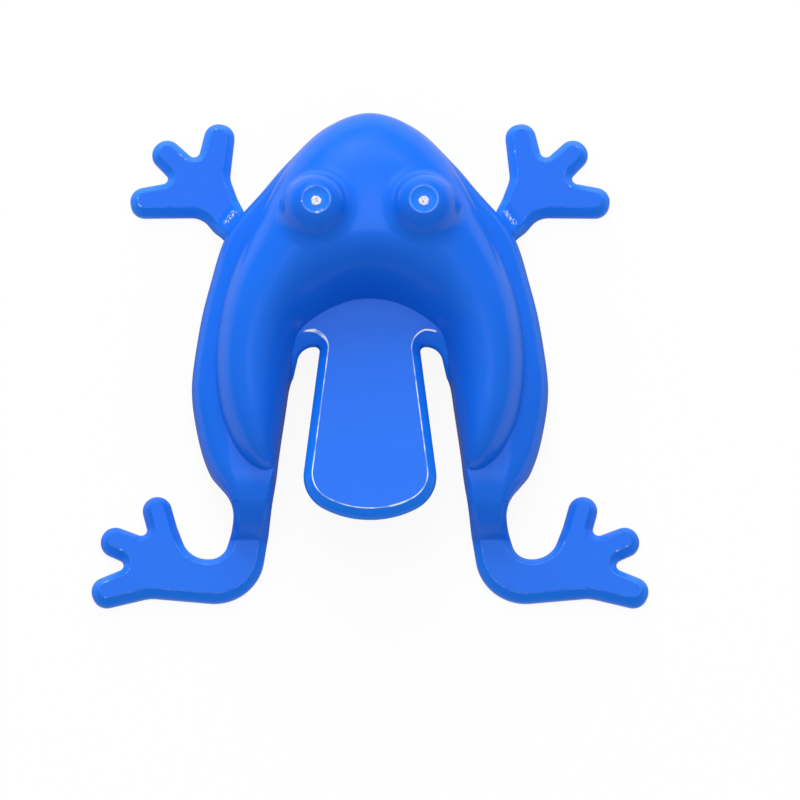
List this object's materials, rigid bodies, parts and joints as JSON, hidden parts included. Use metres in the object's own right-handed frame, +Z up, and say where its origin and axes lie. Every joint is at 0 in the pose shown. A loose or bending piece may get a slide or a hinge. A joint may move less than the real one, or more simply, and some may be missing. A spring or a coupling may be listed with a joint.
{
  "type": "jumping frog toy",
  "caption": "Moulded plastic jumping frog: a hollow domed shell on flat hands and feet, with a springy thumb tab at the rear that flips it when it is pressed and let go.",
  "frame": {"origin": "on the table, under the middle of the toy's outline seen from above", "axes": "+X to the frog's own right, along the span of the hind feet; +Y towards the nose; +Z up"},
  "size_m": [0.0556, 0.0506, 0.0144],
  "materials": {
    "body_shell_plastic": "glossy as moulded",
    "thumb_tab_plastic": "glossy as moulded",
    "right_arm_plastic": "glossy as moulded",
    "left_arm_plastic": "glossy as moulded",
    "right_leg_plastic": "glossy as moulded",
    "left_leg_plastic": "glossy as moulded"
  },
  "bodies": {
    "shell": {"body_shell": "body_shell_plastic"},
    "tab": {"thumb_tab": "thumb_tab_plastic"},
    "arm_right": {"right_arm": "right_arm_plastic"},
    "arm_left": {"left_arm": "left_arm_plastic"},
    "leg_right": {"right_leg": "right_leg_plastic"},
    "leg_left": {"left_leg": "left_leg_plastic"}
  },
  "joints": [
    {"name": "tab_flex", "type": "hinge", "parent": "shell", "child": "tab", "pos_m": [0, -0.00083, 0.00479], "axis": [1, 0, 0], "range_deg": [-3, 22], "stiffness_Nm_per_rad": 0.12},
    {"name": "right_shoulder_flex", "type": "hinge", "parent": "shell", "child": "arm_right", "pos_m": [0.01372, 0.01413, 0.00222], "axis": [0.5846, -0.8113, 0], "range_deg": [-6, 6], "stiffness_Nm_per_rad": 0.05},
    {"name": "left_shoulder_flex", "type": "hinge", "parent": "shell", "child": "arm_left", "pos_m": [-0.01372, 0.01413, 0.00222], "axis": [0.5846, 0.8113, 0], "range_deg": [-6, 6], "stiffness_Nm_per_rad": 0.05},
    {"name": "right_hip_flex", "type": "hinge", "parent": "shell", "child": "leg_right", "pos_m": [0.01178, -0.01548, 0.0041], "axis": [1, 0, 0], "range_deg": [-8, 6], "stiffness_Nm_per_rad": 0.05},
    {"name": "left_hip_flex", "type": "hinge", "parent": "shell", "child": "leg_left", "pos_m": [-0.01178, -0.01548, 0.0041], "axis": [1, 0, 0], "range_deg": [-8, 6], "stiffness_Nm_per_rad": 0.05}
  ]
}
